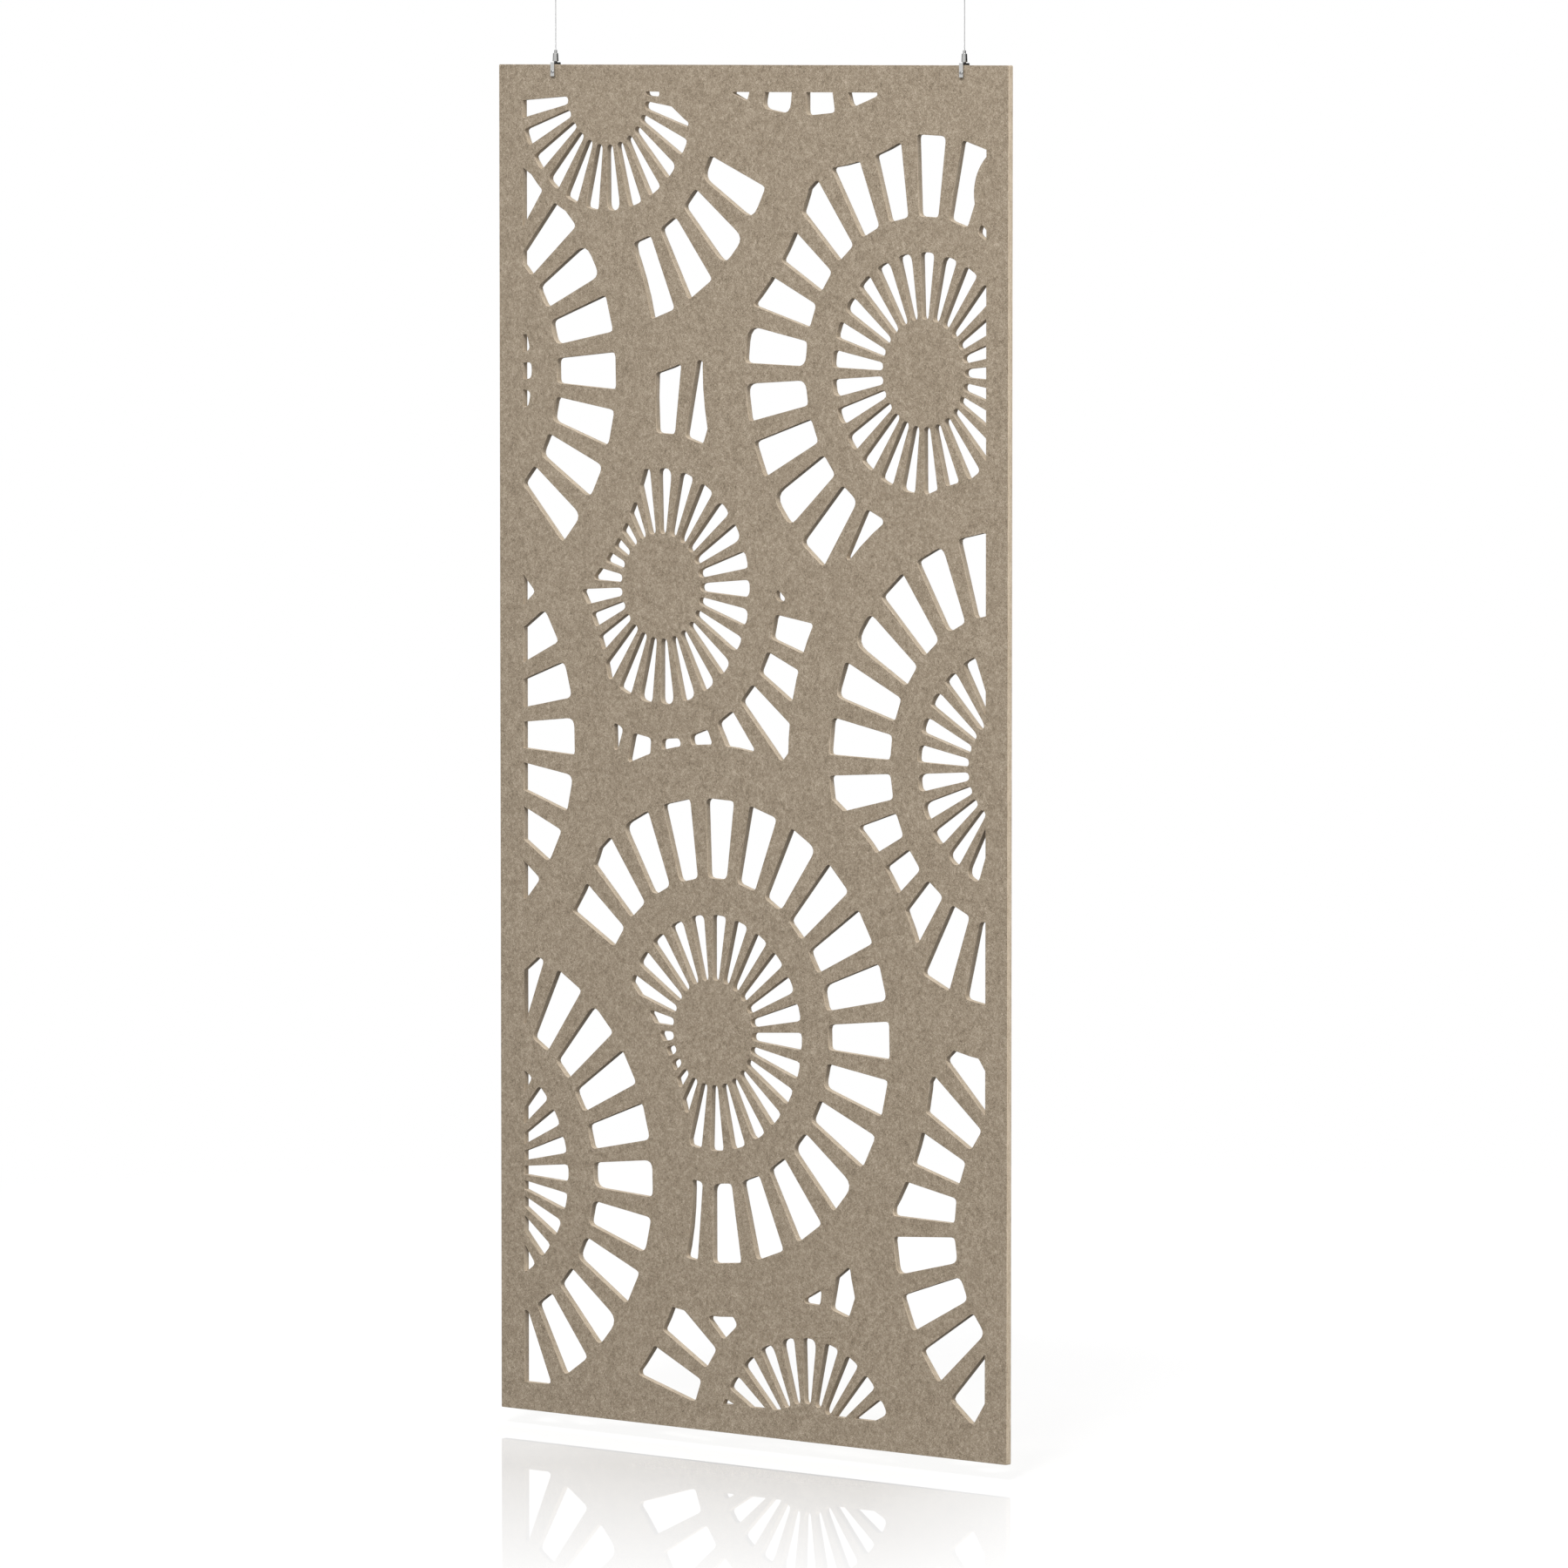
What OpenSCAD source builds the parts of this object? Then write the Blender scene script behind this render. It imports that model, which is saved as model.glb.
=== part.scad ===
// Pierced felt room divider, hung from the ceiling by two wire ropes.
// X runs along the panel, Y is its depth (the front faces -Y) and Z is up.
// The origin is on the ceiling, midway between the two ceiling fittings.

/* [Felt panel] */
// Width of the felt board
panel_w = 1200; // [1000:10:1400]
// Height of the felt board
panel_h = 2440; // [2000:10:2800]
// Thickness of the felt board
panel_t = 12; // [9:0.5:15]
// Small radius on the board's four outer corners
panel_corner_r = 2; // [1:0.5:6]
// Uncut border at the left edge
left_border = 57; // [40:1:70]
// Uncut border at the right edge
right_border = 50; // [40:1:70]
// Uncut border at the top edge
top_border = 48; // [45:1:70]
// Uncut border at the bottom edge
bottom_border = 51; // [40:1:70]

/* [Sunburst wheels] */
// Slots in one ring of a wheel
slots_per_ring = 25; // [20:1:30]
// Inner radius of the narrow rays
ray_in = 94; // [70:1:120]
// Outer radius of the narrow rays
ray_out = 212; // [190:1:235]
// Angle that one ray spans
ray_span = 8.7; // [6:0.1:9.5]
// Inner radius of the wide blocks
block_in = 274; // [250:1:290]
// Outer radius of the wide blocks
block_out = 417; // [380:1:440]
// Angle that one block spans
block_span = 9.3; // [6:0.1:10]
// Radius of the plain disc on which a wheel hides the wheels behind it
wheel_r = 512; // [470:1:530]
// Smallest length that a slot's corner is rounded over
corner_min = 7; // [2:0.5:8]
// Largest length that a slot's corner is rounded over
corner_max = 30; // [12:1:40]
// Corner radius where another wheel cuts a slot short
cut_r = 5; // [2:0.5:6]
// Narrowest opening that is still cut
least_gap = 4; // [2:0.5:6]
// Thinnest strip of felt that is left between two openings
least_strip = 3; // [2:0.5:6]

/* [Hanging] */
// From the ceiling to the board's top edge
hang_drop = 142; // [120:1:260]
// From the board's left edge to the left wire
left_wire_inset = 133; // [90:1:200]
// From the board's right edge to the right wire
right_wire_inset = 105; // [90:1:200]
// Diameter of the wire rope
wire_d = 1.5; // [1:0.1:1.8]
// Farthest that the wires lean sideways, in degrees
sway_max = 4; // [2:0.5:5]
// Farthest that the panel swings to and fro, in degrees
swing_max = 10; // [5:1:12]

/* [Ceiling fitting] */
// Outer diameter of the cap
cap_d = 20; // [18:0.5:26]
// Height of the whole fitting below the ceiling
fitting_h = 22; // [20:0.5:30]
// Thread diameter between the cap and its base
boss_d = 14; // [12:0.5:15]
// Height of the threaded boss
boss_h = 7; // [5:0.5:8]
// Diameter of the flange against the ceiling
flange_d = 22; // [20:0.5:30]
// Thickness of the flange against the ceiling
flange_t = 2.5; // [1.5:0.1:4]
// Diameter of the ceiling screw's hole
screw_hole_d = 4.5; // [3.5:0.1:5.5]
// Diameter of the ball at the end of the wire
stop_ball_d = 6; // [5:0.1:7]
// Metal under the ball in the cap's floor
cap_floor_t = 3; // [2:0.1:4]

/* [Gripper] */
// Diameter of the housing at its foot
housing_foot_d = 11; // [10.6:0.1:13]
// Diameter of the housing at its head
housing_head_d = 9.5; // [9.2:0.1:11]
// Height of the housing
housing_h = 15; // [14:0.5:20]
// Diameter of the release sleeve
sleeve_d = 5.5; // [5:0.1:5.8]
// Height that the release sleeve stands out of the housing
sleeve_stand = 5.5; // [3:0.1:8]
// Distance that the release sleeve is pushed in
sleeve_travel = 1.5; // [0.8:0.1:2]
// Diameter of the gripping balls
grip_ball_d = 3; // [2.8:0.1:3.2]
// Slope of the gripping cone from the upright, in degrees
cone_angle = 11; // [9:0.5:13]
// Thickness of the lip over the gripping cone
lip_t = 2; // [1:0.1:3]
// Diameter of the chamber under the gripping cone
chamber_d = 8.4; // [8:0.1:8.6]
// Thickness of the plug that closes the chamber
plug_t = 2.5; // [2:0.1:3]
// Wire diameter of the release spring
spring_wire_d = 0.4; // [0.3:0.05:0.5]
// Turns of the release spring
spring_turns = 3; // [2:1:4]

/* [Panel clamp] */
// Width of the clamp along the board
clamp_w = 9; // [8:0.5:16]
// Thickness of the clamp's two walls
clamp_wall_t = 2.5; // [2:0.1:4]
// Thickness of the bridge over the board
bridge_t = 4; // [3:0.1:6]
// Depth that the clamp's walls reach down the board
clamp_reach = 21; // [18:0.5:40]
// Rounding along the bridge's two upper edges
bridge_r = 1.2; // [0.4:0.1:2]
// Thickness of the pressure plate
plate_t = 1; // [0.6:0.1:2]
// Rim of the wall left round the pressure plate
plate_rim = 0.8; // [0.4:0.1:2]
// Diameter of the clamp screw
clamp_screw_d = 4; // [3:0.1:5]
// Depth of the clamp screw below the board's top edge
clamp_screw_z = 13.5; // [8:0.5:15]
// Diameter of the clamp screw's head
clamp_head_d = 5.5; // [5.2:0.1:7]
// Thickness of the clamp screw's head
clamp_head_t = 1.8; // [1:0.1:3]
// Width across the flats of the screw's hexagon socket
socket_af = 2.5; // [2:0.1:3]
// Diameter of the stud that joins the gripper to the clamp
stud_d = 6; // [5:0.1:6.5]
// Height of the stud that shows between the clamp and the gripper
neck_h = 1.5; // [1:0.1:3]

/* [Hidden] */
$fn = 64;

felt_colour = [0.63, 0.57, 0.50];
nickel_colour = [0.78, 0.78, 0.76];
steel_colour = [0.62, 0.63, 0.65];
dark_steel_colour = [0.35, 0.35, 0.36];

// Clearances: a thread or a pressed seat, a sliding fit, and a ball in its seat
thread_gap = 0.05;
slide_gap = 0.1;
seat_gap = 0.03;
// Clearance that the gripping balls keep from the wire, over their travel and the wire's lean
grip_gap = seat_gap + sleeve_travel / 2 * tan(sway_max);

// The two wires stand the same distance from the origin
wire_spacing = panel_w - left_wire_inset - right_wire_inset;
left_wire_x = -wire_spacing / 2;
right_wire_x = wire_spacing / 2;
panel_left_x = left_wire_x - left_wire_inset;
panel_top_z = -hang_drop;

// Each wheel: [from the left edge, below the top edge, radius that it hides what is behind,
// has rays, has blocks, extra turn of its rays]. The first one lies at the back.
// The middle and the upper left wheel have their rays on a disc of their own. The last row has
// no slots: it only trims the blocks that reach the right border.
design_turn = 1.2;
inner_disc_r = (ray_out + block_in) / 2;
WHEELS = [
    [391, 930, wheel_r, true, true, -0.5],
    [735, 2466, wheel_r, true, true, 0],
    [1354, 2031, wheel_r + 12, false, true, 0],
    [1007, 537, wheel_r + 4, true, true, 0],
    [1205, 1224, wheel_r, true, true, 0],
    [514, 1721, wheel_r, false, true, 0],
    [514, 1724, inner_disc_r, true, false, -2],
    [-46, 2005, wheel_r, true, true, 0],
    [256, 53, wheel_r, false, true, 0],
    [-133, 556, wheel_r, true, true, 0],
    [-234, 1217, wheel_r, false, true, 0],
    [261, 50, inner_disc_r - 8, true, false, 0],
    [734, -328, wheel_r, false, true, 0],
    [1207, 222, wheel_r / 6, false, false, 0]
];
slot_pitch = 360 / slots_per_ring;
slot_seed = 11;

// Heights of the ceiling fitting, down from the ceiling
boss_bottom_z = -flange_t - boss_h;
cap_bottom_z = -fitting_h;
stop_r = stop_ball_d / 2;
pivot_z = cap_bottom_z + cap_floor_t + stop_r;
cap_floor_z = pivot_z - stop_r / 6;
countersink_r = min(screw_hole_d, boss_d / 2 - 1.5);

// Heights of the clamp and the gripper, up from the board's top edge
wire_r = wire_d / 2;
housing_foot_z = panel_top_z + bridge_t + neck_h;
housing_head_z = housing_foot_z + housing_h;
sleeve_top_z = housing_head_z + sleeve_stand;
cone_top_z = housing_head_z - lip_t;
cone_top_r = sleeve_d / 2 + slide_gap;
grip_ball_r = grip_ball_d / 2;
grip_track_r = wire_r + grip_gap + grip_ball_r;
grip_cone_r = grip_track_r + (grip_ball_r + seat_gap) / cos(cone_angle);
grip_z = cone_top_z - (grip_cone_r - cone_top_r) / tan(cone_angle);
lean_z = grip_z - sleeve_travel / 2;
chamber_r = chamber_d / 2;
cone_foot_z = cone_top_z - (chamber_r - cone_top_r) / tan(cone_angle);
plug_top_z = housing_foot_z + plug_t;
cage_rim = 0.8;
cage_bottom_z = grip_z - grip_ball_r - cage_rim;
wire_tail_z = cage_bottom_z + cage_rim / 2;

// The clamp: the pressure plate lies between its front wall and the board
board_front_y = -panel_t / 2;
board_back_y = panel_t / 2;
plate_front_y = board_front_y - plate_t;
clamp_front_y = plate_front_y - clamp_wall_t;
clamp_back_y = board_back_y + clamp_wall_t;
clamp_bottom_z = panel_top_z - clamp_reach;
clamp_screw_axis_z = panel_top_z - clamp_screw_z;

// ---- Felt panel ------------------------------------------------------------

function polar(r, a) = [r * cos(a), r * sin(a)];
function wheel_centre(w) = [panel_left_x + w[0], panel_top_z - w[1]];

// Curved corner at p between its neighbours: it starts and ends "reach" along the two sides
function curved_corner(before, p, after, reach) =
    let (
        a = p + (before - p) * min(0.45, reach / norm(before - p)),
        b = p + (after - p) * min(0.45, reach / norm(after - p)),
        steps = reach > 9 ? 4 : 2
    )
    [for (i = [0 : steps]) let (s = i / steps)
        (1 - s) * (1 - s) * a + 2 * s * (1 - s) * p + s * s * b];

// One slot as points: two radial sides and two ends, each corner eased by its own length
function slot_points(centre, r_in, r_out, angle, span, reaches) =
    let (
        corner = [
            centre + polar(r_in, angle - span / 2), centre + polar(r_out, angle - span / 2),
            centre + polar(r_out, angle + span / 2), centre + polar(r_in, angle + span / 2)
        ]
    )
    [for (i = [0 : 3]) each
        curved_corner(corner[(i + 3) % 4], corner[i], corner[(i + 1) % 4], reaches[i])];

// Most corners are nearly sharp and a few are very round, as in cut card
function corner_reach(u, share) = corner_min + (corner_max - corner_min) * share * pow(u, 3);

// Does a wheel in front of wheel number i reach this slot?
function is_cut(i, centre, r_in, r_out, angle, span) =
    max([
        for (j = [i + 1 : 1 : len(WHEELS) - 1], r = [r_in, (r_in + r_out) / 2, r_out],
             a = [-span / 2, span / 2])
            norm(centre + polar(r, angle + a) - wheel_centre(WHEELS[j])) < WHEELS[j][2] ? 1 : 0,
        0
    ]) > 0;

module wheels_in_front(i)
    for (j = [i + 1 : 1 : len(WHEELS) - 1])
        translate(wheel_centre(WHEELS[j])) circle(r = WHEELS[j][2], $fn = 90);

module ring_of_slots(i, r_in, r_out, span, extra_turn, inner_share, outer_share) {
    centre = wheel_centre(WHEELS[i]);
    chance = rands(0, 1, 4 * slots_per_ring, slot_seed * (i + 1) + r_in);
    for (k = [0 : slots_per_ring - 1]) {
        angle = design_turn + extra_turn + k * slot_pitch;
        reaches = [
            corner_reach(chance[4 * k], inner_share), corner_reach(chance[4 * k + 1], outer_share),
            corner_reach(chance[4 * k + 2], outer_share), corner_reach(chance[4 * k + 3], inner_share)
        ];
        if (is_cut(i, centre, r_in, r_out, angle, span))
            offset(r = cut_r, $fn = 20) offset(delta = -cut_r) difference() {
                polygon(slot_points(centre, r_in, r_out, angle, span, [for (r = reaches) corner_min]));
                wheels_in_front(i);
            }
        else
            polygon(slot_points(centre, r_in, r_out, angle, span, reaches));
    }
}

module in_pattern_field()
    intersection() {
        translate([panel_left_x + left_border, panel_top_z - panel_h + bottom_border])
            square([panel_w - left_border - right_border, panel_h - top_border - bottom_border]);
        children();
    }

// The slots as they are cut: a stretch narrower than least_gap is left out, apart from the tip
// that runs on from a wider one, and so is felt thinner than least_strip
module openings()
    offset(delta = -least_strip / 2) offset(delta = least_strip / 2) intersection() {
        in_pattern_field() children();
        offset(r = least_gap, $fn = 24) offset(delta = -least_gap / 2) in_pattern_field() children();
    }

module panel_outline()
    difference() {
        offset(r = panel_corner_r, $fn = 16) offset(delta = -panel_corner_r)
            translate([panel_left_x, panel_top_z - panel_h]) square([panel_w, panel_h]);
        for (i = [0 : len(WHEELS) - 1]) {
            if (WHEELS[i][3])
                openings() ring_of_slots(i, ray_in, ray_out, ray_span, WHEELS[i][5], 0.3, 0.6);
            if (WHEELS[i][4])
                openings() ring_of_slots(i, block_in, block_out, block_span, 0, 0.5, 1);
        }
    }

module felt_panel()
    color(felt_colour)
        translate([0, board_back_y, 0]) rotate([90, 0, 0])
            linear_extrude(panel_t) panel_outline();

// ---- Ceiling fittings ------------------------------------------------------

module ceiling_base(x)
    color(nickel_colour) translate([x, 0, 0]) difference() {
        union() {
            translate([0, 0, -flange_t]) cylinder(d = flange_d, h = flange_t);
            translate([0, 0, boss_bottom_z]) cylinder(d = boss_d, h = boss_h + flange_t / 2);
        }
        translate([0, 0, boss_bottom_z - 1]) cylinder(d = screw_hole_d, h = boss_h + flange_t + 2);
        translate([0, 0, boss_bottom_z])
            cylinder(r1 = countersink_r, r2 = screw_hole_d / 2, h = countersink_r - screw_hole_d / 2);
    }

// The cap's mouth is flared, so that the leaning wire stays clear of it
cap_mouth_r = wire_r + slide_gap + (pivot_z - cap_bottom_z) * tan(swing_max + sway_max);
cap_throat_r = wire_r + slide_gap + stop_r / 2 * tan(swing_max + sway_max);
cap_edge = 1;

module ceiling_cap(x)
    color(nickel_colour) translate([x, 0, 0]) difference() {
        rotate_extrude() polygon([
            [0, cap_bottom_z], [cap_d / 2 - cap_edge, cap_bottom_z],
            [cap_d / 2, cap_bottom_z + cap_edge], [cap_d / 2, -flange_t], [0, -flange_t]
        ]);
        translate([0, 0, cap_floor_z])
            cylinder(r = boss_d / 2 + thread_gap, h = -flange_t - cap_floor_z + 1);
        translate([0, 0, pivot_z]) sphere(r = stop_r + seat_gap);
        translate([0, 0, cap_bottom_z])
            cylinder(r1 = cap_mouth_r, r2 = cap_throat_r, h = pivot_z - stop_r / 2 - cap_bottom_z);
    }

// ---- Wire rope and its end ball --------------------------------------------

module wire_stop_ball(x)
    color(steel_colour) translate([x, 0, pivot_z]) difference() {
        sphere(r = stop_r);
        translate([0, 0, -stop_r - 1])
            cylinder(r1 = wire_r + slide_gap + (stop_r + 1) * tan(sway_max),
                     r2 = wire_r + slide_gap, h = stop_r + 1);
        translate([0, 0, -slide_gap]) cylinder(r = wire_r + slide_gap, h = 3 * slide_gap);
    }

module wire_rope(x)
    color(steel_colour)
        translate([x, 0, wire_tail_z]) cylinder(r = wire_r, h = pivot_z - wire_tail_z);

// ---- Cable gripper ---------------------------------------------------------

housing_edge = 0.6;

module gripper_housing(x)
    color(nickel_colour) translate([x, 0, 0]) rotate_extrude() polygon([
        [chamber_r, housing_foot_z],
        [housing_foot_d / 2 - housing_edge, housing_foot_z],
        [housing_foot_d / 2, housing_foot_z + housing_edge],
        [housing_head_d / 2, housing_head_z - housing_edge],
        [housing_head_d / 2 - housing_edge, housing_head_z],
        [cone_top_r, housing_head_z],
        [cone_top_r, cone_top_z],
        [chamber_r, cone_foot_z]
    ]);

// The sleeve's bore widens upwards, so that the wire can lean about lean_z, and three windows
// hold the balls. Pushed down, the sleeve takes them out of the cone's narrow part.
sleeve_mouth_r = wire_r + slide_gap + (sleeve_top_z - lean_z) * tan(sway_max);
sleeve_bore_r = wire_r + slide_gap + (lean_z - wire_tail_z) * tan(sway_max);
sleeve_edge = 0.4;

module release_sleeve(x)
    color(nickel_colour) translate([x, 0, 0]) difference() {
        rotate_extrude() polygon([
            [sleeve_bore_r, cage_bottom_z],
            [sleeve_d / 2, cage_bottom_z],
            [sleeve_d / 2, sleeve_top_z - sleeve_edge],
            [sleeve_d / 2 - sleeve_edge, sleeve_top_z],
            [sleeve_mouth_r, sleeve_top_z],
            [sleeve_bore_r, grip_z]
        ]);
        for (k = [0 : 2]) rotate([0, 0, 120 * k + 30])
            translate([0, 0, grip_z]) rotate([0, 90, 0])
                cylinder(r = grip_ball_r + seat_gap, h = sleeve_d);
    }

module grip_balls(x)
    color(steel_colour) translate([x, 0, grip_z])
        for (k = [0 : 2]) rotate([0, 0, 120 * k + 30])
            translate([grip_track_r, 0, 0]) sphere(r = grip_ball_r);

// The spring is a tube swept along a helix between the plug and the cage
spring_r = (sleeve_bore_r + sleeve_d / 2) / 2;
spring_low_z = plug_top_z + spring_wire_d / 2;
spring_high_z = cage_bottom_z - spring_wire_d / 2;
spring_sides = 6;
rings_per_turn = 12;
spring_rings = spring_turns * rings_per_turn;

function spring_ring(i) =
    let (
        a = 360 * i / rings_per_turn,
        z = spring_low_z + (spring_high_z - spring_low_z) * i / spring_rings
    )
    [for (k = [0 : spring_sides - 1])
        let (
            b = 360 * k / spring_sides,
            r = spring_r + spring_wire_d / 2 * cos(b)
        )
        [r * cos(a), r * sin(a), z + spring_wire_d / 2 * sin(b)]];

function tube_faces(rings, sides) = concat(
    [for (i = [0 : rings - 1], k = [0 : sides - 1], half = [0, 1])
        let (a = i * sides + k, b = i * sides + (k + 1) % sides)
        half == 0 ? [a, a + sides, b + sides] : [a, b + sides, b]],
    [[for (k = [0 : sides - 1]) k]],
    [[for (k = [sides - 1 : -1 : 0]) rings * sides + k]]
);

module release_spring(x)
    color(dark_steel_colour) translate([x, 0, 0])
        polyhedron(
            points = [for (i = [0 : spring_rings]) each spring_ring(i)],
            faces = tube_faces(spring_rings, spring_sides)
        );

// The plug closes the housing, and its stud screws into the clamp's bridge
module gripper_stud(x)
    color(dark_steel_colour) translate([x, 0, 0]) {
        translate([0, 0, housing_foot_z]) cylinder(r = chamber_r - thread_gap, h = plug_t);
        translate([0, 0, panel_top_z + thread_gap])
            cylinder(d = stud_d, h = bridge_t + neck_h + plug_t / 2);
    }

// ---- Panel clamp -----------------------------------------------------------

module bridge_edge(y, side)
    translate([0, y - side * bridge_r, panel_top_z + bridge_t - bridge_r]) difference() {
        translate([-clamp_w, side > 0 ? 0 : -2 * bridge_r, 0])
            cube([2 * clamp_w, 2 * bridge_r, 2 * bridge_r]);
        rotate([0, 90, 0]) cylinder(r = bridge_r, h = 3 * clamp_w, center = true);
    }

module clamp_bracket(x)
    color(nickel_colour) translate([x, 0, 0]) difference() {
        translate([-clamp_w / 2, clamp_front_y, clamp_bottom_z])
            cube([clamp_w, clamp_back_y - clamp_front_y, clamp_reach + bridge_t]);
        translate([-clamp_w, plate_front_y, clamp_bottom_z - 1])
            cube([2 * clamp_w, board_back_y - plate_front_y, clamp_reach + 1]);
        translate([0, 0, panel_top_z - 1])
            cylinder(r = stud_d / 2 + thread_gap, h = bridge_t + 2);
        translate([0, clamp_front_y - 1, clamp_screw_axis_z]) rotate([-90, 0, 0])
            cylinder(r = clamp_screw_d / 2 + thread_gap, h = clamp_wall_t + 2);
        bridge_edge(clamp_front_y, -1);
        bridge_edge(clamp_back_y, 1);
    }

module clamp_screw(x)
    color(dark_steel_colour)
        translate([x, clamp_front_y - clamp_head_t, clamp_screw_axis_z]) rotate([-90, 0, 0])
            difference() {
                union() {
                    cylinder(d = clamp_head_d, h = clamp_head_t);
                    cylinder(d = clamp_screw_d, h = clamp_head_t + clamp_wall_t);
                }
                translate([0, 0, -1])
                    cylinder(d = socket_af / cos(30), h = 1 + clamp_head_t, $fn = 6);
            }

module pressure_plate(x)
    color(steel_colour)
        translate([x - clamp_w / 2 + plate_rim, plate_front_y, clamp_bottom_z + plate_rim])
            cube([clamp_w - 2 * plate_rim, plate_t, clamp_reach - 2 * plate_rim]);

// ---- What is drawn ---------------------------------------------------------

felt_panel();
ceiling_base(left_wire_x);  // ceiling_base_left
ceiling_base(right_wire_x);  // ceiling_base_right
ceiling_cap(left_wire_x);  // ceiling_cap_left
ceiling_cap(right_wire_x);  // ceiling_cap_right
wire_stop_ball(left_wire_x);  // wire_stop_ball_left
wire_stop_ball(right_wire_x);  // wire_stop_ball_right
wire_rope(left_wire_x);  // wire_rope_left
wire_rope(right_wire_x);  // wire_rope_right
release_sleeve(left_wire_x);  // release_sleeve_left
release_sleeve(right_wire_x);  // release_sleeve_right
grip_balls(left_wire_x);  // grip_balls_left
grip_balls(right_wire_x);  // grip_balls_right
release_spring(left_wire_x);  // release_spring_left
release_spring(right_wire_x);  // release_spring_right
gripper_housing(left_wire_x);  // gripper_housing_left
gripper_housing(right_wire_x);  // gripper_housing_right
gripper_stud(left_wire_x);  // gripper_stud_left
gripper_stud(right_wire_x);  // gripper_stud_right
clamp_bracket(left_wire_x);  // clamp_bracket_left
clamp_bracket(right_wire_x);  // clamp_bracket_right
clamp_screw(left_wire_x);  // clamp_screw_left
clamp_screw(right_wire_x);  // clamp_screw_right
pressure_plate(left_wire_x);  // pressure_plate_left
pressure_plate(right_wire_x);  // pressure_plate_right
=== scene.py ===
import math

import bmesh
import bpy
from mathutils import Matrix, Vector


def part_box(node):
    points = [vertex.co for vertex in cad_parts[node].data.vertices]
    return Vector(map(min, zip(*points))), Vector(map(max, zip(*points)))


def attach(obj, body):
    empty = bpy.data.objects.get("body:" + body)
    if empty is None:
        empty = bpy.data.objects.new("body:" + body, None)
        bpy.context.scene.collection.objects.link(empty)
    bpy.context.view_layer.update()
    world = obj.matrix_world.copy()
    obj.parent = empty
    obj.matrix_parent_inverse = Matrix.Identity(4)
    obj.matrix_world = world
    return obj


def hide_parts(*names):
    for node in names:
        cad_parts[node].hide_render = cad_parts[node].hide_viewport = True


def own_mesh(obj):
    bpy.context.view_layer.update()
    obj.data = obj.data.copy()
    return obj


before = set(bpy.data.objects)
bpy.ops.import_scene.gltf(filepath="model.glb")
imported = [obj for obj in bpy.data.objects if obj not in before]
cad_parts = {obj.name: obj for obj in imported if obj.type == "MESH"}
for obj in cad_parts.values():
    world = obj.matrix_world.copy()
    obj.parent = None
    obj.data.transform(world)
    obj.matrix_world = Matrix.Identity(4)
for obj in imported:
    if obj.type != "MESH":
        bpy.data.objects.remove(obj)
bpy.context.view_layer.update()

# A pierced felt room divider that hangs from the ceiling on two wire ropes.
# X runs along the board, the front faces -Y, Z is up, and the ceiling is at Z = 0.
# Lengths are in metres, and angles in radians.

bl_info = {
    "name": "Hanging Felt Divider",
    "version": (1, 0, 0),
    "blender": (4, 5, 0),
    "location": "View3D > Sidebar > Divider",
    "description": "Finishes a pierced felt divider and its wire fittings, and sets a plain studio",
    "category": "Object",
}

MM = 0.001
SIDES = ("left", "right")
BOARD_LOW, BOARD_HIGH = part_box("felt_panel")
BOARD_MIDDLE = (BOARD_LOW + BOARD_HIGH) / 2

# ---- Sizes and colours ------------------------------------------------------


class FeltSettings(bpy.types.PropertyGroup):
    """The pressed felt board."""

    face_colour: bpy.props.FloatVectorProperty(
        name="Face", description="Average colour of the board's faces",
        subtype="COLOR", default=(0.355, 0.283, 0.200), min=0, max=1)
    pale_fibre: bpy.props.FloatVectorProperty(
        name="Pale fibres", description="Colour of the palest fibres in the felt",
        subtype="COLOR", default=(0.70, 0.60, 0.48), min=0, max=1)
    dark_fibre: bpy.props.FloatVectorProperty(
        name="Dark fibres", description="Colour of the darkest fibres in the felt",
        subtype="COLOR", default=(0.09, 0.065, 0.04), min=0, max=1)
    cut_colour: bpy.props.FloatVectorProperty(
        name="Cut edge", description="Average colour where the board is cut through",
        subtype="COLOR", default=(0.39, 0.315, 0.225), min=0, max=1)
    softened_edge: bpy.props.FloatProperty(
        name="Softened edge", description="Radius of the worn edge between a face and a cut",
        subtype="DISTANCE", default=0.3 * MM, min=0.1 * MM, max=2 * MM)


class MetalSettings(bpy.types.PropertyGroup):
    """The plated and plain metal of the fittings."""

    nickel_colour: bpy.props.FloatVectorProperty(
        name="Nickel", description="Colour of the plating on the ceiling fittings and the clamps",
        subtype="COLOR", default=(0.58, 0.58, 0.57), min=0, max=1)
    gripper_colour: bpy.props.FloatVectorProperty(
        name="Grippers", description="Colour of the grippers' plating",
        subtype="COLOR", default=(0.50, 0.50, 0.49), min=0, max=1)
    steel_colour: bpy.props.FloatVectorProperty(
        name="Steel", description="Colour of the balls and the pressure plates",
        subtype="COLOR", default=(0.40, 0.41, 0.42), min=0, max=1)
    wire_colour: bpy.props.FloatVectorProperty(
        name="Wire", description="Colour of the wire ropes",
        subtype="COLOR", default=(0.60, 0.60, 0.605), min=0, max=1)
    screw_colour: bpy.props.FloatVectorProperty(
        name="Screws", description="Colour of the clamp screws",
        subtype="COLOR", default=(0.42, 0.42, 0.42), min=0, max=1)
    dark_colour: bpy.props.FloatVectorProperty(
        name="Dark steel", description="Colour of the studs and springs",
        subtype="COLOR", default=(0.10, 0.10, 0.105), min=0, max=1)
    broken_edge: bpy.props.FloatProperty(
        name="Broken edge", description="Radius on the sharp edges of the metal pieces",
        subtype="DISTANCE", default=0.15 * MM, min=0.02 * MM, max=0.5 * MM)


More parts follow.
